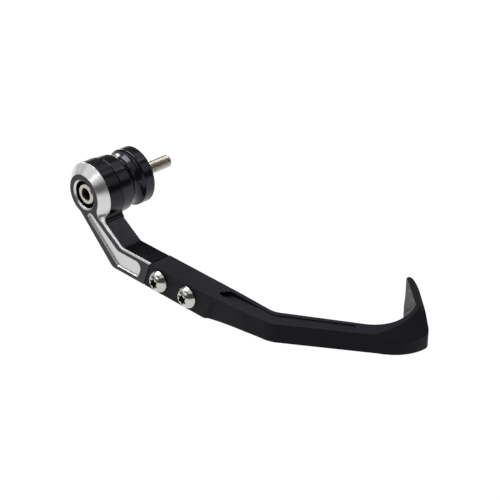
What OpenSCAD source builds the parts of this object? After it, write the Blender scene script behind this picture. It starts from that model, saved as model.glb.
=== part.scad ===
// Brake lever guard: machined arm, moulded guard, bar end spool and its screws.
// X runs along the bolt axis from the head to the stud, Y towards the rider, Z up.
// The origin lies on the bolt axis, on the spool face that meets the handlebar.

/* [Arm head] */
// diameter of the round head
head_d = 28; // [26:0.5:32]
// thickness of the arm, face to spool
arm_t = 11.4; // [10.4:0.2:13]
// depth of the bright chamfer round the head
head_cham = 3.9; // [2.5:0.1:4.4]
// width of the bright chamfer, seen from the front
head_cham_w = 4.3; // [3:0.1:4.6]
// diameter of the counterbore for the bolt head
cbore_d = 12.9; // [11.6:0.1:13.5]
// width of the bright bevel at the counterbore mouth
cbore_bevel = 0.75; // [0.4:0.05:1.1]

/* [Arm] */
// drop from the bolt axis to the top of the strip
strip_drop = 17; // [16:0.5:19]
// height of the strip at the joint
strip_h = 12.4; // [11.8:0.2:13.6]
// slope of the arm's upper side in degrees
upper_slope = 33.4; // [31:0.2:35]
// slope of the arm's lower side in degrees
lower_slope = 44; // [43:0.2:46]
// reach of the bend in the upper side, forward of the bolt axis
bend_y = 25; // [24:0.5:27]
// reach of the bend in the lower side, forward of the bolt axis
low_bend_y = 17.8; // [16.5:0.1:18.5]
// width of the bright chamfer along the strip
edge_cham_w = 0.75; // [0.6:0.05:1.2]
// how far that chamfer's line turns from the arm's upper side, in degrees, so that it widens to the head
cham_turn = 1.3; // [0:0.1:2]
// edge break on the arm's inner side
inner_break = 0.7; // [0.2:0.1:1]
// depth of the pocket in the arm's face
pocket_deep = 0.8; // [0.5:0.1:1.6]

/* [Joint] */
// reach of the seam at the top of the strip, forward of the bolt axis
seam_y = 43.7; // [42.5:0.1:44.5]
// how far the seam leans over the height of the strip
seam_lean = 4.7; // [3:0.1:5.5]
// thickness of the tongue
tongue_t = 5; // [4:0.2:5.4]
// height of the tongue
tongue_h = 8.2; // [7:0.2:8.6]
// length of the tongue past the axis of the front guard screw
tongue_tip = 7.6; // [6.6:0.1:8]
// front wall of the guard's socket
socket_wall = 3; // [2.6:0.1:3.4]
// clearance all round the tongue except at its front
socket_fit = 0.25; // [0.15:0.05:0.4]
// distance from the top of the seam to the axis of the rear guard screw
screw_set = 6; // [5.7:0.1:6.8]
// spacing of the two guard screws
screw_pitch = 18.2; // [16:0.1:19]

/* [Guard] */
// thickness of the guard at the socket
guard_t = 11.05; // [10.8:0.05:11.3]
// height of the guard past the ramp
guard_h = 8.7; // [8.2:0.1:9.4]
// reach where the underside starts to rise
ramp_y0 = 78.5; // [76:0.5:80]
// reach where the underside is level again
ramp_y1 = 118; // [113:0.5:119]
// width of the rim on the inner side of the top slot
slot_rim = 1.9; // [1.6:0.1:2.4]
// depth of the top slot at its rear end
slot_deep = 2.1; // [1:0.1:2.6]
// depth of the top slot past its sloping floor
slot_low = 0.5; // [0.3:0.1:0.9]
// depth of the scoop in the outer face
scoop_deep = 1.1; // [0.5:0.1:1.4]

/* [Spool] */
// length of the spool
spool_l = 18.95; // [18:0.05:22]
// diameter of the spool's rim at the handlebar
spool_rim_d = 26.7; // [25.5:0.1:27.4]
// width of that rim
spool_rim_w = 5.2; // [4.6:0.1:5.8]
// radius at the bottom of the spool's groove
groove_r = 10.9; // [10.2:0.1:11.6]
// radius of the groove's round section
groove_round = 3.9; // [3.6:0.1:4.3]

/* [Screws] */
// thread diameter of the mounting bolt
bolt_d = 6; // [5:0.1:6]
// how much thinner the plain shank is than the thread, on the radius
shank_relief = 0.35; // [0.3:0.05:0.5]
// head diameter of the mounting bolt
bolt_head_d = 9.6; // [8.8:0.1:10.2]
// head height of the mounting bolt
bolt_head_h = 6; // [5:0.1:6.4]
// depth of the bolt head below the arm's face
bolt_sink = 1; // [0.5:0.1:1.6]
// length of the stud that stands out of the spool
stud_l = 19.8; // [14:0.2:26]
// clearance round the bolt, on the radius
bolt_fit = 0.3; // [0.2:0.05:0.4]
// head diameter of the guard screws
screw_head_d = 10; // [9.4:0.1:10.6]
// head height of the guard screws
screw_head_h = 3.4; // [2.8:0.1:3.6]
// thread diameter of the guard screws
screw_d = 6; // [5:0.1:6]
// length of a guard screw below its head
screw_l = 8; // [6.5:0.1:8]
// width across the lobes of the screws' recess
lobe_d = 4.9; // [4.2:0.1:5.2]
// depth of the screws' recess
lobe_deep = 2; // [1.2:0.1:2.2]
// clearance round the guard screws in the guard, on the radius
screw_fit = 0.25; // [0.15:0.05:0.4]

/* [Hidden] */
$fn = 96;
eps = 0.01;

head_r = head_d / 2;
joint_x = -spool_l;
face_x = -spool_l - arm_t;
face_r = head_r - head_cham_w;
cham_rate = head_cham_w / head_cham;
edge_cham = edge_cham_w / cham_rate;
top_z = -strip_drop;
bot_z = top_z - strip_h;
mid_z = (top_z + bot_z) / 2;

// unit vectors of the arm's upper side: along it and square to it
ut = [-cos(upper_slope), -sin(upper_slope)];
un = [-sin(upper_slope), cos(upper_slope)];
bend_p = [-bend_y, top_z];
upper_d = bend_p * un;
low_p = [-low_bend_y, bot_z];
lt = [cos(lower_slope), sin(lower_slope)];

// neck fillet on the outline and on the face
neck_r = 3;
neck_face_r = 4;
neck_s = sqrt(pow(head_r + neck_r, 2) - pow(upper_d + neck_r, 2));
neck_c = (upper_d + neck_r) * un + neck_s * ut;
bend_r = 3;
bend_l = bend_r * tan(upper_slope / 2);
bend_c = [-bend_y - bend_l, top_z + bend_r];
bend_s = bend_c * ut;

// the chamfer's line on the arm's face: unit vectors along it and square to it, and its distance
cham_slope = upper_slope - cham_turn;
ct = [-cos(cham_slope), -sin(cham_slope)];
cn = [-sin(cham_slope), cos(cham_slope)];
face_d = bend_c * cn - bend_r - edge_cham_w;
nf_s = sqrt(pow(face_r + neck_face_r, 2) - pow(face_d + neck_face_r, 2));
nf_c = (face_d + neck_face_r) * cn + nf_s * ct;

seam_top = [-seam_y, top_z];
seam_bot = [-seam_y + seam_lean, bot_z];
seam_v = seam_bot - seam_top;
screw_y = seam_y + screw_set;
tongue_y = screw_y + screw_pitch + tongue_tip;

tongue_x0 = face_x + socket_wall;
tongue_z0 = mid_z - tongue_h / 2;

// guard seen from above
pad_x = face_x;
in_x = face_x + guard_t;
out_a = -55.5;
in_a = -58.5;
out_p = [-25.2, -117.5];
in_p = [-16.3, -114.5];
od = [cos(out_a), sin(out_a)];
on = [-sin(out_a), cos(out_a)];
id = [cos(in_a), sin(in_a)];
inn = [-sin(in_a), cos(in_a)];
pad_end_y = -80;
bend_o = [-27.5, out_p[1] + (-27.5 - out_p[0]) * tan(out_a)];
bend_i = [in_x - 0.45, in_p[1] + (in_x - 0.45 - in_p[0]) * tan(in_a)];
curl_r = 23.8;
curl_s = 38.3;
curl_c = out_p + curl_s * od + curl_r * on;
curl_ri = 16.2;
curl_si = 31;
curl_ci = in_p + curl_si * id + curl_ri * inn;

// blade frame: along the ridge, and square to it towards the outside
blade_a = 50;
bd = [cos(blade_a), sin(blade_a)];
bn = [sin(blade_a), -cos(blade_a)];
blade_o = [28.6, -143.6];
function bl(s, p) = blade_o + s * bd + p * bn;

low_bot_z = top_z - guard_h;
// fall of the outer bevel and of the blade's inner slope, and of the underside round the curl
bevel_rate = 0.55;
inner_rate = 1;
drop_rate = 0.128;
// where that fall starts, along the guard's straight stretch
drop_s = 40;

// Draws the child outline in Y and Z and gives it a length along X.
module along_x(x0, len) {
  translate([x0, 0, 0]) rotate([90, 0, 90]) linear_extrude(len) children();
}

// Turned piece: the child profile is in radius and X.
module turned() {
  rotate([0, 90, 0]) rotate_extrude($fn = 128) children();
}

// An arc of radius r that rounds the corner between the directions d1 and d2: its centre for a
// corner at p, and how far along each side it starts.
function half_way(d1, d2) = (d1 + d2) / norm(d1 + d2);
function arc_centre(p, d1, d2, r) = p + half_way(d1, d2) * r / sqrt(1 - pow(half_way(d1, d2) * d1, 2));
function arc_reach(d1, d2, r) = r * (half_way(d1, d2) * d1) / sqrt(1 - pow(half_way(d1, d2) * d1, 2));

// The small piece between a corner and the arc that rounds it.
module corner(p, d1, d2, r, e = 0.4) {
  c = arc_centre(p, d1, d2, r);
  l = arc_reach(d1, d2, r);
  difference() {
    polygon([p - e * half_way(d1, d2), p + l * d1, c, p + l * d2]);
    translate(c) circle(r);
  }
}

module arm_outline() {
  difference() {
    polygon([
      ut * 7 + un * upper_d, bend_p, seam_top, seam_bot, low_p, low_p + lt * 30, [6, -2]
    ]);
    corner(low_p, [-1, 0], lt, 4);
  }
  corner(bend_p, [-1, 0], -ut, bend_r);
}

// Prism along an upper edge of the arm. The child outline is in X and the height square to the edge.
module edge_prism(slope, s0, s1) {
  rotate([90 + slope, 0, 0]) translate([0, 0, s0]) linear_extrude(s1 - s0) children();
}

// Section that is cut away by the bright chamfer, for an edge whose face line is at d.
module cham_section(d) {
  polygon([
    [face_x - 1, d - cham_rate], [face_x - 1, d + 8], [face_x + 5, d + 8], [face_x + 5, d + 5 * cham_rate]
  ]);
}

// Section of the edge break on the inner side, for an edge at d.
module break_section(d) {
  polygon([[joint_x - inner_break - 1, d + 1], [joint_x + 1, d + 1], [joint_x + 1, d - inner_break - 1]]);
}

module cham_wedge(s0, s1) {
  edge_prism(cham_slope, s0, s1) cham_section(face_d);
}

module neck() {
  t1 = neck_c * (head_r / (head_r + neck_r));
  t2 = neck_c - neck_r * un;
  difference() {
    along_x(face_x, arm_t) difference() {
      polygon([t1 * 0.55, t1, neck_c, t2, t2 - 3 * un, t1 * 0.5 - 3 * un]);
      translate(neck_c) circle(neck_r);
    }
    translate([face_x, nf_c[0], nf_c[1]]) rotate([0, 90, 0])
      cylinder(h = neck_face_r / cham_rate, r1 = neck_face_r, r2 = 0);
    translate([face_x - 1, nf_c[0], nf_c[1]]) rotate([0, 90, 0])
      cylinder(h = 1 + eps, r = neck_face_r);
    cham_wedge(nf_s, nf_s + 12);
    edge_prism(upper_slope, neck_s, neck_s + 9) break_section(upper_d);
  }
}

module pocket_outline() {
  // rounded end in the head, and the two sides that leave it
  c0 = [-4, -9.6];
  r0 = 2;
  up_z = top_z - 2.55;
  lo_z = bot_z + 1.9;
  d_up = [cos(34.5), sin(34.5)];
  d_lo = [cos(41.2), sin(41.2)];
  up0 = c0 + r0 * [-d_up[1], d_up[0]];
  lo0 = c0 + r0 * [d_lo[1], -d_lo[0]];
  up1 = up0 - d_up * (up0[1] - up_z) / d_up[1];
  lo1 = lo0 - d_lo * (lo0[1] - lo_z) / d_lo[1];
  up2 = [-38.6, up_z];
  lo2 = [-35.2, lo_z];
  d_en = (up2 - lo2) / norm(up2 - lo2);
  difference() {
    polygon([c0, up0, up1, up2, lo2, lo1, lo0]);
    corner(up2, [1, 0], -d_en, 2.8);
    corner(lo2, [1, 0], d_en, 1);
    corner(lo1, [-1, 0], d_lo, 1.2);
  }
  corner(up1, [-1, 0], d_up, 4);
  translate(c0) circle(r0);
}

module mount_arm() {
  color("dimgray") difference() {
    union() {
      // head
      turned() polygon([
        [0, face_x], [face_r, face_x], [head_r, face_x + head_cham], [head_r, joint_x - 0.45],
        [head_r - 0.45, joint_x], [0, joint_x]
      ]);
      // arm
      difference() {
        along_x(face_x, arm_t) arm_outline();
        cham_wedge(3, bend_c * ct);
        edge_prism(0, -bend_c[0], seam_y + 4) cham_section(top_z - edge_cham_w);
        translate([face_x, bend_c[0], bend_c[1]]) rotate([0, 90, 0])
          cylinder(h = 1.5 * edge_cham, r1 = bend_r + edge_cham_w, r2 = bend_r - edge_cham_w / 2);
        // edge breaks on the inner side
        edge_prism(upper_slope, neck_s, bend_s) break_section(upper_d);
        edge_prism(0, -bend_c[0], seam_y + 4) break_section(top_z);
        translate([joint_x - inner_break, bend_c[0], bend_c[1]]) rotate([0, 90, 0])
          cylinder(h = inner_break + 1, r1 = bend_r, r2 = bend_r + inner_break + 1);
      }
      neck();
      // tongue
      translate([tongue_x0, -tongue_y, tongue_z0]) cube([tongue_t, tongue_y - seam_y + 6, tongue_h]);
    }
    // pocket
    along_x(face_x - 1, 1 + pocket_deep) pocket_outline();
    // counterbore and bolt hole
    turned() polygon([
      [0, face_x - 1], [cbore_d / 2 + cbore_bevel + 1, face_x - 1], [cbore_d / 2, face_x + cbore_bevel],
      [cbore_d / 2, face_x + bolt_sink + bolt_head_h], [0, face_x + bolt_sink + bolt_head_h]
    ]);
    translate([face_x, 0, 0]) rotate([0, 90, 0]) cylinder(h = arm_t + 1, r = bolt_d / 2 + bolt_fit);
    // tapped holes in the tongue
    for (i = [0, 1]) translate([tongue_x0 - 1, -screw_y - i * screw_pitch, mid_z])
      rotate([0, 90, 0]) cylinder(h = tongue_t + 2, r = screw_d / 2 + 0.02);
  }
}

// Outline of the guard seen from above: the strip, its curl and the blade.
module strip_plan() {
  pad_dir = [pad_x, pad_end_y] - bend_o;
  in_dir = ([in_x, -88] - bend_i) / norm([in_x, -88] - bend_i);
  r = 9;
  c = arc_centre(bend_i, in_dir, id, r);
  l = arc_reach(in_dir, id, r);
  difference() {
    polygon([
      [pad_x, -30], [pad_x, pad_end_y], bend_o, out_p + curl_s * od, out_p + curl_s * od + 6 * on,
      in_p + curl_si * id, bend_i + l * id, c, bend_i + l * in_dir, [in_x, -88], [in_x, -30]
    ]);
    corner(bend_o, pad_dir / norm(pad_dir), od, 12);
    translate(c) circle(r);
  }
}

// The curl's outer arc stands a hair proud, so that it crosses the strip's outer side cleanly.
module curl_plan() {
  difference() {
    intersection() {
      translate(curl_c) circle(curl_r + 0.015, $fn = 160);
      polygon([
        curl_ci, in_p + curl_si * id, out_p + (curl_s - 1.5) * od + 3 * on, out_p + (curl_s - 1.5) * od - 2 * on,
        [2, -165], [19, -165], [19, -147]
      ]);
    }
    translate(curl_ci) circle(curl_ri, $fn = 160);
  }
}

module blade_plan() {
  k = [14.9, -140.5];
  difference() {
    polygon([
      bl(-18.08, 2.7), bl(10, 3.25), bl(14.5, 2.95), bl(17.5, 2.4), bl(17.2, -1.1), bl(10, -2.5), bl(2.5, -4.45),
      k + 8 * [sin(blade_a), -cos(blade_a)], k, [14.9, -150], [14.9, -158]
    ]);
    translate(k) circle(8);
  }
  translate(bl(17.4, 0.62)) circle(1.75);
}

module guard_plan() {
  strip_plan();
  difference() {
    union() {
      curl_plan();
      blade_plan();
    }
    corner(bl(-18.08, 2.7), bd, [-cos(7.1), -sin(7.1)], 6, 1);
  }
}

// Things cut from above: the outer bevel of curl and blade, and the blade's inner slope. Each stretch of
// the bevel runs a little into the next, which lies a hair further out.
module outer_bevel() {
  k1 = [10.5, -112];
  k2 = bl(-2.85, 0.6 - 10);
  r2 = 10;
  step = 0.015;
  r1 = norm(k2 - k1) + r2 - step;
  a12 = atan2(k2[1] - k1[1], k2[0] - k1[0]);
  far = 60;
  module sector(k, a0, a1, r) {
    am = (a0 + a1) / 2;
    polygon([k, k + r * [cos(a0), sin(a0)], k + r * [cos(am), sin(am)], k + r * [cos(a1), sin(a1)]]);
  }
  module cut(k, r, a0, a1, l) {
    difference() {
      translate([0, 0, top_z - 9]) linear_extrude(11) sector(k, a0, a1, l);
      translate([k[0], k[1], top_z - 10]) cylinder(h = 10, r1 = r + 10 / bevel_rate, r2 = r, $fn = 160);
      translate([k[0], k[1], top_z - 10]) cylinder(h = 14, r = r, $fn = 160);
    }
  }
  cut(k1, r1, -112, a12 + 0.7, far);
  cut(k2, r2, a12, blade_a - 90, 26);
  translate([bl(24, 0)[0], bl(24, 0)[1], 0]) rotate([90, 0, blade_a - 90]) linear_extrude(24 + 2.85 + 0.25)
    polygon([[0.6 + step, top_z], [0.6 + step, top_z + 2], [14, top_z + 2], [14, top_z - 13.4 * bevel_rate]]);
}

module inner_slope() {
  k = [14.5, -124.7];
  difference() {
    translate([0, 0, top_z - 9]) linear_extrude(11)
      polygon([k, k + [-0.2, -30], k + 30 * [cos(-76), sin(-76)], k + 24.08 * [cos(-61.7), sin(-61.7)]]);
    difference() {
      translate([k[0], k[1], top_z - 10]) cylinder(h = 13, r = 40);
      translate([k[0], k[1], top_z - 10]) cylinder(h = 10, r1 = 24 - 10 / inner_rate, r2 = 24, $fn = 160);
      translate([k[0], k[1], top_z - eps]) cylinder(h = 5, r = 24, $fn = 160);
    }
  }
  translate([bl(24, 0)[0], bl(24, 0)[1], 0]) rotate([90, 0, blade_a - 90]) linear_extrude(24 + 3.5)
    polygon([[-0.6, top_z], [-0.6, top_z + 2], [-12, top_z + 2], [-12, top_z - 11.4 * inner_rate]]);
}

// Cut from below: the underside rises in a curve past the socket, is level, and falls slowly in the curl.
module underside() {
  rise = strip_h - guard_h;
  reach = ramp_y1 - ramp_y0;
  steps = 12;
  difference() {
    along_x(-45, 100) polygon(concat(
      [[-175, low_bot_z], [-175, bot_z - 9], [-ramp_y0 + reach / steps, bot_z - 9]],
      [for (i = [-1 : steps]) let (t = i / steps) [-ramp_y0 - reach * t, bot_z + rise * (2 * t - t * t)]]
    ));
    translate([out_p[0], out_p[1], 0]) rotate([90, 0, out_a]) translate([0, 0, -75]) linear_extrude(100)
      polygon([
        [drop_s - 1 / drop_rate, low_bot_z + 1], [80, low_bot_z - (80 - drop_s) * drop_rate], [80, low_bot_z + 1]
      ]);
  }
}

module slot_plan() {
  e = 2.2;
  // rear corners, then the corners at the bend and the far ones, on the outer and the inner side
  a0 = [pad_x + 4.05, -80.96];
  a1 = [in_x - slot_rim + 0.1, -85];
  so = [bend_o[0] + e, bend_o[1] + 0.35];
  si = [bend_i[0] - slot_rim, bend_i[1] - 1.1];
  po = out_p + 29 * od + e * on;
  pi = in_p + 27 * id - slot_rim * inn;
  ua = (a1 - a0) / norm(a1 - a0);
  u0 = (so - a0) / norm(so - a0);
  u1 = (si - a1) / norm(si - a1);
  difference() {
    polygon([a0, so, po, pi, si, a1]);
    corner(so, -u0, (po - so) / norm(po - so), 9);
    corner(a0, ua, u0, 1.4, 1);
    corner(a1, -ua, u1, 1);
  }
  corner(si, -u1, (pi - si) / norm(pi - si), 11);
  translate((po + pi) / 2) circle(norm(po - pi) / 2);
}

// The slot is deep at its rear end; its floor slopes up and then runs level.
module top_slot() {
  intersection() {
    translate([0, 0, top_z - 4]) linear_extrude(6) slot_plan();
    along_x(-45, 90) polygon([
      [-70, top_z + 1], [-70, top_z - slot_deep], [-84, top_z - slot_deep], [-102, top_z - slot_low],
      [-170, top_z - slot_low], [-170, top_z + 1]
    ]);
  }
}

module scoop() {
  r = 3.4;
  x1 = pad_x + scoop_deep;
  intersection() {
    translate([0, -82, -18]) rotate([25, 0, 0]) linear_extrude(60, center = true) {
      polygon([[pad_x - 3, -r], [x1, -r], [pad_x + 2.2, -34], [pad_x - 3, -34]]);
      intersection() {
        translate([x1 - r, -r]) circle(r);
        translate([pad_x - 3, -r - 0.1]) square([8, r + 1]);
      }
    }
    along_x(-40, 25) polygon([[-76, -18.6], [-81, -18.6], [-102, top_z + 0.1], [-125, top_z + 1], [-125, -45], [-76, -45]]);
  }
}

module lever_guard() {
  color("darkslategray") difference() {
    translate([0, 0, bot_z]) linear_extrude(strip_h) guard_plan();
    underside();
    outer_bevel();
    inner_slope();
    // seam
    along_x(-40, 30) polygon([
      seam_top - 0.4 * seam_v, seam_bot + 0.4 * seam_v, [-20, bot_z - 10], [-20, top_z + 10]
    ]);
    // socket for the tongue
    translate([tongue_x0, -tongue_y - 0.5, tongue_z0 - socket_fit])
      cube([tongue_t + socket_fit, tongue_y, tongue_h + 2 * socket_fit]);
    for (i = [0, 1]) translate([pad_x - 1, -screw_y - i * screw_pitch, mid_z])
      rotate([0, 90, 0]) cylinder(h = socket_wall + 2, r = screw_d / 2 + screw_fit);
    // slot in the top
    top_slot();
    scoop();
  }
}

// Rounds the lip between the spool's rim of radius r and its groove, whose section is centred on c.
module groove_lip(c, r, side, lip) {
  k = [r - lip, c[1] + side * sqrt(pow(groove_round + lip, 2) - pow(c[0] - r + lip, 2))];
  difference() {
    polygon([k, [r, k[1]], [r + 1, k[1]], [r + 1, c[1]], c, c + (k - c) * groove_round / (groove_round + lip)]);
    translate(k) circle(lip);
  }
}

module bar_end_spool() {
  r1 = head_r - 0.4;
  r2 = spool_rim_d / 2;
  // centre of the groove's section, placed so that the rim keeps its width
  cr = groove_r + groove_round;
  c = [cr, -spool_rim_w - sqrt(pow(groove_round, 2) - pow(cr - r2, 2))];
  color("black") difference() {
    turned() difference() {
      polygon([
        [0, joint_x], [r1 - 0.3, joint_x], [r1, joint_x + 0.3], [r2, c[1] - groove_round - 0.6],
        [r2, -0.25], [r2 - 0.25, 0], [0, 0]
      ]);
      translate(c) circle(groove_round);
      groove_lip(c, r2, -1, 1.2);
      groove_lip(c, r2, 1, 0.4);
    }
    translate([joint_x - 1, 0, 0]) rotate([0, 90, 0]) cylinder(h = spool_l + 2, r = bolt_d / 2 + bolt_fit);
  }
}

module mount_bolt() {
  hx = face_x + bolt_sink;
  ux = hx + bolt_head_h;
  br = bolt_d / 2;
  hr = bolt_head_d / 2;
  hex_r = 5 / sqrt(3);
  color("silver") difference() {
    turned() polygon([
      [0, hx], [hr - 0.4, hx], [hr, hx + 0.4], [hr, ux], [br - shank_relief, ux], [br - shank_relief, 0],
      [br, 0], [br, stud_l - 0.9], [br - 0.9, stud_l], [0, stud_l]
    ]);
    translate([hx - 1, 0, 0]) rotate([0, 90, 0]) rotate([0, 0, 12]) cylinder(h = 4, r = hex_r, $fn = 6);
    translate([hx - 1, 0, 0]) rotate([0, 90, 0]) cylinder(h = 1 + hex_r - 2.5, r1 = hex_r + 1.3, r2 = 2.8);
  }
}

// Button head screw: rim, dome of one arc with a small flat, six lobe recess.
module guard_screw(y) {
  r = screw_head_d / 2;
  rim = 0.45;
  flat = 2.6;
  hd = screw_head_h - rim;
  // centre and radius of the arc that makes the dome
  zc = (r * r - flat * flat - hd * hd) / (2 * hd);
  rd = sqrt(r * r + zc * zc);
  a0 = atan2(zc, r);
  a1 = atan2(zc + hd, flat);
  color("silver") translate([pad_x, y, mid_z]) difference() {
    union() {
      turned() polygon(concat(
        [[0, 0], [r - 0.25, 0], [r, -0.25]],
        [for (i = [0 : 8]) let (a = a0 + (a1 - a0) * i / 8) [rd * cos(a), -rim - rd * sin(a) + zc]],
        [[0, -screw_head_h]]
      ));
      turned() polygon([[0, -0.5], [screw_d / 2, -0.5], [screw_d / 2, screw_l - 0.8], [screw_d / 2 - 0.8, screw_l], [0, screw_l]]);
    }
    translate([-screw_head_h - 1, 0, 0]) rotate([0, 90, 0]) {
      cylinder(h = 1 + lobe_deep, r = lobe_d * 0.36);
      for (i = [0 : 5]) rotate([0, 0, 60 * i]) translate([lobe_d * 0.385, 0, 0])
        cylinder(h = 1 + lobe_deep, r = lobe_d * 0.115);
    }
  }
}

module guard_screw_rear() guard_screw(-screw_y);
module guard_screw_front() guard_screw(-screw_y - screw_pitch);

mount_arm();
lever_guard();
bar_end_spool();
mount_bolt();
guard_screw_rear();
guard_screw_front();
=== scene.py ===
"""Brake lever guard: its finishes, the stud's thread and the studio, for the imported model."""

import math

import bmesh
import bpy
from mathutils import Matrix, Vector


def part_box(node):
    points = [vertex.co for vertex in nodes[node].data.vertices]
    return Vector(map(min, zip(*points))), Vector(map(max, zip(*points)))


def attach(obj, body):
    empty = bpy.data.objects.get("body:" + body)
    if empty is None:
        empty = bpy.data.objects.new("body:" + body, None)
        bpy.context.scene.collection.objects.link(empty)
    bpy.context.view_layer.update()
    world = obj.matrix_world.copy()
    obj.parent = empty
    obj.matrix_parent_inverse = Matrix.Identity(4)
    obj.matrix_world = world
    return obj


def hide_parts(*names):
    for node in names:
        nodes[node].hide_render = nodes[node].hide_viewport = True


MM = 0.001

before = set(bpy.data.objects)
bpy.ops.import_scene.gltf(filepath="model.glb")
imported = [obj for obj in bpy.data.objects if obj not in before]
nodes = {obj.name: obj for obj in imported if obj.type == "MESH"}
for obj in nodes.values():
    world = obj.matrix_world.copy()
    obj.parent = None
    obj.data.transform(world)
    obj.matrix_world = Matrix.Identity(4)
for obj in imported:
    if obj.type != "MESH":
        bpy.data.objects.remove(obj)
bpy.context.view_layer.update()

# Places in mm, read from the parts of model.glb. +X runs along the bolt to the stud, -Y runs forward along
# the guard.
ARM_LO, ARM_HI = (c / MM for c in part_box("mount_arm"))
GUARD_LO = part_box("lever_guard")[0] / MM
BOLT_LO, BOLT_HI = (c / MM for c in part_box("mount_bolt"))
FACE_X = ARM_LO.x
HEAD_R = ARM_HI.z

# The arm's bright cuts, in mm. Depths run from the arm's outer face, radii from the bolt's axis.
CHAMFER_DEEP = 4.0
POCKET_DEEP = 0.8
WALL_LEAN = 0.13
BOSS_R = 7.6
COUNTERBORE_RIM = 8.2
TURNED_R = HEAD_R + 4.0
# Depths that differ by less than this are the same.
SLACK = 0.02

# Shares of a face's normal. A bevel's x share lies in BEVEL. A face that looks along an axis has
# more than FACING of it, and a wall square to the outer face has less than SQUARE of x.
BEVEL = (-0.80, -0.66)
FACING = 0.9
SQUARE = 0.05

# The neck, where the head's chamfer runs into the arm's, in mm
NECK = Vector((-28.0, -12.2, -6.5))
NECK_REACH = 6.0
NECK_BLEND = 2.6
EDGE_BLEND = 0.15

# The seam between arm and guard, in mm. No other end face of the guard lies behind END_FACE_Y, and
# no other forward face of the arm lies ahead of SHOULDER_Y, apart from the hidden tongue's.
END_FACE_Y = -46
SHOULDER_Y = -40
PARTING_GAP = 0.5

# The stud's thread, in mm. FLAT is the share of half a pitch that the crest and the root each take.
THREAD_R = 3.0
THREAD_PITCH = 1.0
THREAD_DEEP = 0.61 * THREAD_PITCH
THREAD_START = 0.0
RUN_IN_START = 0.4
RUN_IN = 0.8
TIP_CHAMFER = 0.9
FLAT = 0.12
ROWS_PER_PITCH = 10
POINTS_PER_TURN = 48

# The roughness changes over patches of this many grains, and nearly all of its noise lies between
# these two values.
PATCH = 30
NOISE_LOW = 0.3
NOISE_HIGH = 0.7

# The driver recesses, in mm. Faces with less than RECESS_STEEP of x in their normal are their walls.
HEXAGON_R = 3.0
SIX_LOBE_R = 2.5
RECESS_DEEP = 4.2
RECESS_RIM = 0.12
RECESS_STEEP = 0.3


# Materials
def srgb(code):
    """Linear colour of a hex sRGB code such as "1a1a1c"."""
    parts = [int(code[i:i + 2], 16) / 255 for i in (0, 2, 4)]
    return [c / 12.92 if c <= 0.04045 else ((c + 0.055) / 1.055) ** 2.4 for c in parts] + [1.0]


def add(tree, kind, **settings):
    """Adds a node. A setting names a property, or an input with _ for a space, or i0 and i1 for inputs
    by number. An input whose setting is a socket gets a link."""
    made = tree.nodes.new(kind)
    for key, value in settings.items():
        if hasattr(made, key):
            setattr(made, key, value)
            continue
        name = int(key[1]) if key in ("i0", "i1") else key.replace("_", " ")
        socket = made.inputs[name]
        if isinstance(value, bpy.types.NodeSocket):
            tree.links.new(value, socket)
        else:
            socket.default_value = value
    return made


def material(name, base, rough, metal=0.0, spec=0.5, tint="ffffff"):
    """A Principled material with no pattern yet. Tint colours its reflections. Returns the material,
    its tree and its shader."""
    made = bpy.data.materials.new(name)
    made.use_nodes = True
    tree = made.node_tree
    shader = next(n for n in tree.nodes if n.type == "BSDF_PRINCIPLED")
    shader.inputs["Base Color"].default_value = srgb(base)
    shader.inputs["Roughness"].default_value = rough
    shader.inputs["Metallic"].default_value = metal
    shader.inputs["Specular IOR Level"].default_value = spec
    shader.inputs["Specular Tint"].default_value = srgb(tint)
    return made, tree, shader


def pattern_space(tree, scale=(1, 1, 1)):
    """The piece's own coordinates in millimetres, stretched by scale."""
    place = add(tree, "ShaderNodeTexCoord")
    return add(tree, "ShaderNodeMapping", Vector=place.outputs["Object"],
               Scale=[s / MM for s in scale]).outputs["Vector"]


def turned_space(tree):
    """Coordinates in millimetres that change fast only with the distance from the bolt's axis, so that
    a pattern in them becomes rings."""
    across = pattern_space(tree, (0, 1, 1))
    radius = add(tree, "ShaderNodeVectorMath", operation="LENGTH", i0=across).outputs["Value"]
    slow = pattern_space(tree, (0.15, 0.15, 0.15))
    rings = add(tree, "ShaderNodeCombineXYZ", X=radius).outputs["Vector"]
    return add(tree, "ShaderNodeVectorMath", operation="ADD", i0=rings, i1=slow).outputs["Vector"]


def neck_blend(tree):
    """Edge radius for the bright cuts: wide where the head's chamfer runs into the arm's, small
    elsewhere."""
    place = add(tree, "ShaderNodeTexCoord").outputs["Object"]
    away = add(tree, "ShaderNodeVectorMath", operation="DISTANCE", i0=place, i1=NECK * MM).outputs["Value"]
    radius = add(tree, "ShaderNodeMapRange", Value=away, From_Max=NECK_REACH * MM,
                 To_Min=NECK_BLEND * MM, To_Max=EDGE_BLEND * MM)
    return radius.outputs["Result"]


def grain(tree, shader, size, height, strength, rough=None, where=None, edge=0.0):
    """Surface grain: noise bumps of the given size and height in mm. Rough is the range of roughness
    over patches PATCH grains wide. Edge is the radius that sharp edges shade with, in metres or as
    a socket."""
    where = where or pattern_space(tree)
    noise = add(tree, "ShaderNodeTexNoise", Vector=where, Scale=1 / size, Detail=3)
    bump = add(tree, "ShaderNodeBump", Height=noise.outputs["Fac"], Strength=strength, Distance=height * MM)
    tree.links.new(bump.outputs["Normal"], shader.inputs["Normal"])
    if edge:
        rounded = add(tree, "ShaderNodeBevel", samples=8, Radius=edge)
        tree.links.new(rounded.outputs["Normal"], bump.inputs["Normal"])
    if rough:
        wide = add(tree, "ShaderNodeTexNoise", Vector=where, Scale=1 / (size * PATCH), Detail=2)
        spread = add(tree, "ShaderNodeMapRange", Value=wide.outputs["Fac"], From_Min=NOISE_LOW,
                     From_Max=NOISE_HIGH, To_Min=rough[0], To_Max=rough[1])
        tree.links.new(spread.outputs["Result"], shader.inputs["Roughness"])


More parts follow.
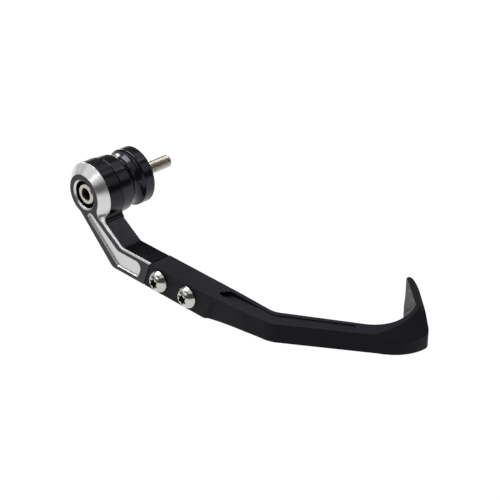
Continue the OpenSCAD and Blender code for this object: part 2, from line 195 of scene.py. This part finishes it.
def black_anodised():
    """The arm's black: aluminium, milled, finely blasted and dyed in the anodising bath. The clear
    oxide over the dye makes a deep, slightly blue black whose flat faces mirror the softboxes softly.
    The blasted grain, about 0.02 mm, is too fine to show, so it is drawn 0.09 mm wide."""
    made, tree, shader = material("black_anodised_aluminium", "040406", 0.26, spec=0.3, tint="eeeeff")
    grain(tree, shader, 0.09, 0.0015, 0.05, rough=(0.2, 0.25), edge=0.2 * MM)
    return made


def joint_black():
    """The arm's shoulder inside the parting line: anodised aluminium, painted a matt near-black with no
    reflection as painted shade for the narrow gap, so the eye sees a thin black line. Its grain is
    as on the arm."""
    made, tree, shader = material("painted_shade_joint_face", "020202", 0.6, spec=0.0)
    grain(tree, shader, 0.09, 0.0015, 0.05)
    return made


def milled_aluminium():
    """The pocket, the counterbore's bevel and the arm's chamfer: aluminium, milled after anodising, so
    the black is cut away. Bare metal with a pale, silky shine. The cutter's marks, about 0.04 mm, are
    too fine to show, so they are drawn 0.12 mm wide."""
    made, tree, shader = material("milled_aluminium", "cbcbcb", 0.3, metal=1.0)
    grain(tree, shader, 0.12, 0.0012, 0.25, rough=(0.26, 0.34), edge=neck_blend(tree))
    return made


def turned_aluminium():
    """The head's chamfer: aluminium, turned on a lathe after anodising. Fine rings round the bolt's
    axis draw each light out into a fan across them. The tool's feed, about 0.08 mm, is too fine to
    show, so the rings are drawn 0.25 mm wide."""
    made, tree, shader = material("turned_aluminium", "cfcfd0", 0.24, metal=1.0)
    grain(tree, shader, 0.25, 0.012, 0.5, rough=(0.22, 0.28), where=turned_space(tree), edge=neck_blend(tree))
    return made


def moulded_nylon():
    """The guard: glass-filled nylon, injection moulded in a spark-eroded steel mould. The fine texture
    of the mould leaves a soft blue-black with a dull sheen and no sharp reflection. The texture's
    grain is 0.16 mm wide."""
    made, tree, shader = material("moulded_black_nylon", "131317", 0.5, spec=0.09, tint="eeeeff")
    grain(tree, shader, 0.16, 0.012, 0.5, rough=(0.45, 0.55), edge=0.35 * MM)
    return made


def gloss_black():
    """The spool: turned aluminium under sprayed and baked black lacquer. The smooth coat mirrors the
    softboxes as small bright patches on a deep black. The lacquer's faint waves are 0.8 mm wide."""
    made, tree, shader = material("gloss_black_lacquer", "08080b", 0.2, spec=0.4, tint="e8e8ff")
    grain(tree, shader, 0.8, 0.003, 0.15, rough=(0.18, 0.23), edge=0.3 * MM)
    return made


def polished_stainless():
    """The guard screws: stainless steel, cold-headed and tumbled to a polish. The domes mirror the
    studio as crisp light and dark arcs. The tumbling marks, about 0.02 mm, are too fine to show, so
    they are drawn 0.08 mm wide."""
    made, tree, shader = material("polished_stainless_steel", "bfbdb8", 0.16, metal=1.0)
    grain(tree, shader, 0.08, 0.002, 0.25, rough=(0.12, 0.22))
    return made


def plain_stainless():
    """The bolt and its stud: stainless steel, cold-headed and thread-rolled, then pickled and left so.
    A duller, slightly warm grey. The pickled grain, about 0.02 mm, is too fine to show, so it is drawn
    0.08 mm wide."""
    made, tree, shader = material("plain_stainless_steel", "bdb9b0", 0.3, metal=1.0)
    grain(tree, shader, 0.08, 0.002, 0.3, rough=(0.26, 0.36))
    return made


def dull_recess():
    """The driver recesses: stainless steel, painted dull and dark as the shade deep in a recess, so a
    recess reads as a hole. Its grain is as on the bolt."""
    made, tree, shader = material("steel_recess_painted_shade", "38352f", 0.5, metal=0.6)
    grain(tree, shader, 0.08, 0.002, 0.3)
    return made


ANODISED = black_anodised()
MILLED = milled_aluminium()
TURNED = turned_aluminium()
# Painted shade for the parting gap at the arm's shoulder.
JOINT = joint_black()
NYLON = moulded_nylon()
GLOSS = gloss_black()
POLISHED = polished_stainless()
PLAIN = plain_stainless()
# Painted shade for the driver recesses of the bolt and the screws.
RECESS = dull_recess()


def paint(obj, *mats):
    """Gives an object these materials in place of its own."""
    obj.data.materials.clear()
    for mat in mats:
        obj.data.materials.append(mat)


# Pieces
def copy_of(node, name):
    """A new object with a copy of the CAD node's mesh, which stands for that node."""
    mesh = nodes[node].data.copy()
    obj = bpy.data.objects.new(name, mesh)
    bpy.context.scene.collection.objects.link(obj)
    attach(obj, "root")
    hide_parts(node)
    return obj


def place_of(vertex):
    """A vertex's place in mm, rounded, so that the vertices that meet in one corner share it."""
    return tuple(round(c / MM, 3) for c in vertex.co)


def from_axis(place):
    """Distance of a place from the bolt's axis."""
    return math.hypot(place.y, place.z)


def pocket_wall(centre, normal):
    """True for a face of the low wall round the arm's pocket."""
    depth = centre.x - FACE_X
    return abs(normal.x) < SQUARE and 0 < depth < POCKET_DEEP and from_axis(centre) > BOSS_R


def arm_finish(centre, normal):
    """Material index of an arm face: 0 anodised, 1 milled after anodising, 2 turned, 3 painted shade on the
    shoulder.
    """
    # The shoulder in the parting gap gets a matt black as painted shade.
    if normal.y < -FACING and centre.y < SHOULDER_Y:
        return 3
    depth = centre.x - FACE_X
    if BEVEL[0] < normal.x < BEVEL[1] and depth < CHAMFER_DEEP:
        return 2 if COUNTERBORE_RIM < from_axis(centre) < TURNED_R else 1
    floor = normal.x < -FACING and abs(depth - POCKET_DEEP) < SLACK
    return 1 if floor or pocket_wall(centre, normal) else 0


def dress_arm():
    """The arm with its bright cuts and the painted shade on its shoulder. The foot of the pocket's wall is
    moved in, so that the wall leans as the cutter left it and catches the light."""
    arm = copy_of("mount_arm", "arm_with_bright_cuts")
    paint(arm, ANODISED, MILLED, TURNED, JOINT)
    mesh = arm.data
    inward = {}
    for poly in mesh.polygons:
        centre, normal = poly.center / MM, poly.normal.copy()
        poly.material_index = arm_finish(centre, normal)
        if not pocket_wall(centre, normal):
            continue
        for at in poly.vertices:
            vertex = mesh.vertices[at]
            if abs(vertex.co.x / MM - FACE_X - POCKET_DEEP) < SLACK:
                inward.setdefault(place_of(vertex), []).append(normal)
    for vertex in mesh.vertices:
        normals = inward.get(place_of(vertex))
        if normals:
            vertex.co += sum(normals, Vector()).normalized() * WALL_LEAN * MM
    mesh.update()


def dress_guard():
    """The guard, its end face drawn back from the arm's shoulder by the parting gap."""
    guard = copy_of("lever_guard", "guard_with_parting_gap")
    paint(guard, NYLON)
    mesh = guard.data
    end = set()
    for poly in mesh.polygons:
        if poly.center.y > END_FACE_Y * MM and poly.normal.y > FACING:
            end.update(place_of(mesh.vertices[at]) for at in poly.vertices)
    for vertex in mesh.vertices:
        if place_of(vertex) in end:
            vertex.co.y -= PARTING_GAP * MM
    mesh.update()


def share(value):
    """A value held between 0 and 1."""
    return min(1.0, max(0.0, value))


def thread_radius(x, turn):
    """The thread's radius at x, where turn runs from 0 to 1 round the axis: a 60 degree thread that
    fades in at the foot and has a chamfer at the tip."""
    phase = (x / THREAD_PITCH - turn) % 1.0
    flank = share((abs(phase - 0.5) * 2 - FLAT) / (1 - 2 * FLAT))
    fade = share((x - RUN_IN_START) / RUN_IN)
    return min(THREAD_R - THREAD_DEEP * flank * fade, THREAD_R - TIP_CHAMFER + (BOLT_HI.x - x))


def add_thread(bm):
    """Adds the stud to bm as rings of points, closed at the tip."""
    length = BOLT_HI.x - THREAD_START
    count = int(round(length * ROWS_PER_PITCH / THREAD_PITCH))
    rows = []
    for i in range(count + 1):
        x = THREAD_START + length * i / count
        ring = []
        for j in range(POINTS_PER_TURN):
            turn = j / POINTS_PER_TURN
            r = thread_radius(x, turn)
            a = turn * math.tau
            ring.append(bm.verts.new((x * MM, r * math.cos(a) * MM, r * math.sin(a) * MM)))
        rows.append(ring)
    for low, high in zip(rows, rows[1:]):
        for j in range(POINTS_PER_TURN):
            k = (j + 1) % POINTS_PER_TURN
            bm.faces.new((low[j], low[k], high[k], high[j]))
    bm.faces.new(rows[-1])


def shade_recess(obj, head_x, y, z, r):
    """Gives material 1, the painted shade, to the faces of a driver recess round (y, z): those within r
    and below the rim of the head, whose top is at head_x."""
    for poly in obj.data.polygons:
        c = poly.center / MM
        inside = math.hypot(c.y - y, c.z - z) < r and c.x < head_x + RECESS_DEEP
        below = c.x > head_x + RECESS_RIM or abs(poly.normal.x) < RECESS_STEEP
        poly.material_index = 1 if inside and below else 0


def dress_bolt():
    """The mounting bolt, its plain stud replaced by a threaded one."""
    bolt = copy_of("mount_bolt", "threaded_mount_bolt")
    bm = bmesh.new()
    bm.from_mesh(bolt.data)
    stud = [f for f in bm.faces if f.calc_center_median().x > (THREAD_START + SLACK) * MM]
    bmesh.ops.delete(bm, geom=stud, context="FACES")
    for face in bm.faces:
        face.smooth = True
    add_thread(bm)
    bmesh.ops.recalc_face_normals(bm, faces=bm.faces)
    bm.to_mesh(bolt.data)
    bm.free()
    paint(bolt, PLAIN, RECESS)
    # The hexagon recess gets painted shade.
    shade_recess(bolt, BOLT_LO.x, 0.0, 0.0, HEXAGON_R)


def dress_screw(node, name):
    """A guard screw: polished dome, six-lobe recess painted dark as shade."""
    screw = copy_of(node, name)
    low, high = (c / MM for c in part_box(node))
    centre = (low + high) / 2
    paint(screw, POLISHED, RECESS)
    shade_recess(screw, low.x, centre.y, centre.z, SIX_LOBE_R)


dress_arm()
dress_guard()
dress_bolt()
dress_screw("guard_screw_rear", "rear_guard_screw")
dress_screw("guard_screw_front", "front_guard_screw")
paint(nodes["bar_end_spool"], GLOSS)

# Camera: its place in mm and its own right and back directions, with the focal length in pixels of
# a picture 500 pixels wide
CAMERA_AT = Vector((-393.345, -477.613, 310.166)) * MM
CAMERA_RIGHT = Vector((0.7157, -0.6984, 0.0)).normalized()
CAMERA_BACK = Vector((-0.6073, -0.6223, 0.4939)).normalized()
PICTURE_PX = 500
FOCAL_PX = 1511.3
SENSOR = 36.0


def photo_camera():
    """The camera that sees the part as the photo does."""
    lens = bpy.data.cameras.new("photo_camera")
    lens.sensor_width = SENSOR
    lens.sensor_fit = "HORIZONTAL"
    lens.lens = FOCAL_PX / PICTURE_PX * SENSOR
    lens.clip_start = 0.01
    camera = bpy.data.objects.new("photo_camera", lens)
    up = CAMERA_BACK.cross(CAMERA_RIGHT)
    turn = Matrix((CAMERA_RIGHT, up, CAMERA_BACK)).transposed().to_4x4()
    camera.matrix_world = Matrix.Translation(CAMERA_AT) @ turn
    bpy.context.scene.collection.objects.link(camera)
    bpy.context.scene.camera = camera


photo_camera()

# Studio. The lights face the arm's head or the middle of the part. The table's half width and its
# gap below the part are in mm.
HEAD = Vector((0, 0, 0))
MIDDLE = Vector((0, -80, -20)) * MM
TABLE_HALF = 6000
TABLE_GAP = 0.5


def softbox(name, at, size, power, look=HEAD):
    """An area light that faces a point. Its place and size are in metres, its power in watts."""
    data = bpy.data.lights.new(name, "AREA")
    data.shape = "RECTANGLE"
    data.size, data.size_y = size
    data.energy = power
    light = bpy.data.objects.new(name, data)
    light.location = at
    light.rotation_euler = (Vector(look) - Vector(at)).to_track_quat("-Z", "Y").to_euler()
    bpy.context.scene.collection.objects.link(light)


def light_table():
    """A lit white table top just under the part: opal acrylic, smooth and evenly white."""
    made, _, shader = material("lit_white_table", "303030", 0.9, spec=0.0)
    shader.inputs["Emission Color"].default_value = srgb("ffffff")
    shader.inputs["Emission Strength"].default_value = 1.0
    z = GUARD_LO.z - TABLE_GAP
    corners = [(x * TABLE_HALF, y * TABLE_HALF, z) for x, y in ((-1, -1), (1, -1), (1, 1), (-1, 1))]
    mesh = bpy.data.meshes.new("light_table")
    mesh.from_pydata([Vector(c) * MM for c in corners], [], [(0, 1, 2, 3)])
    table = bpy.data.objects.new("light_table", mesh)
    bpy.context.scene.collection.objects.link(table)
    paint(table, made)


def pale_room():
    """The weak white light of the room round the table."""
    world = bpy.data.worlds.new("studio")
    world.use_nodes = True
    bpy.context.scene.world = world
    sky = next(n for n in world.node_tree.nodes if n.type == "BACKGROUND")
    sky.inputs["Color"].default_value = srgb("ffffff")
    sky.inputs["Strength"].default_value = 0.08
    bpy.context.scene.view_settings.view_transform = "Standard"


light_table()
# Overhead: the key whitens the top of the head's chamfer, and the wide one fills the whole part.
softbox("key_softbox", (0.0, 0.42, 0.92), (0.95, 0.7), 16)
softbox("top_softbox", (-0.1, -0.3, 1.0), (1.0, 1.0), 2.5, MIDDLE)
# Left: the arm's chamfer and the screw domes mirror the two larger ones, the spool's groove the spot.
softbox("left_front_softbox", (-0.881, -0.081, 0.60), (0.40, 0.40), 0.42)
softbox("left_back_softbox", (-0.598, 0.559, 0.60), (1.0, 0.40), 1.15)
softbox("left_spot", (-0.83, 0.12, 0.54), (0.10, 0.10), 0.24)
# Behind: these light the inner side of the guard's blade and the arm's rear slopes.
softbox("back_softbox", (0.28, 1.1, 0.32), (0.45, 0.35), 9)
softbox("back_fill", (-0.2, 1.1, 0.3), (0.5, 0.5), 0.55)
# Right: soft streaks along the head's side and the spool's rims.
softbox("right_softbox", (0.68, 0.08, 0.90), (0.54, 0.22), 0.35)
softbox("right_strip", (0.62, -0.20, 0.90), (0.05, 0.3), 0.22)
softbox("right_fill", (0.60, -0.65, 0.60), (0.45, 0.45), 0.5)
pale_room()
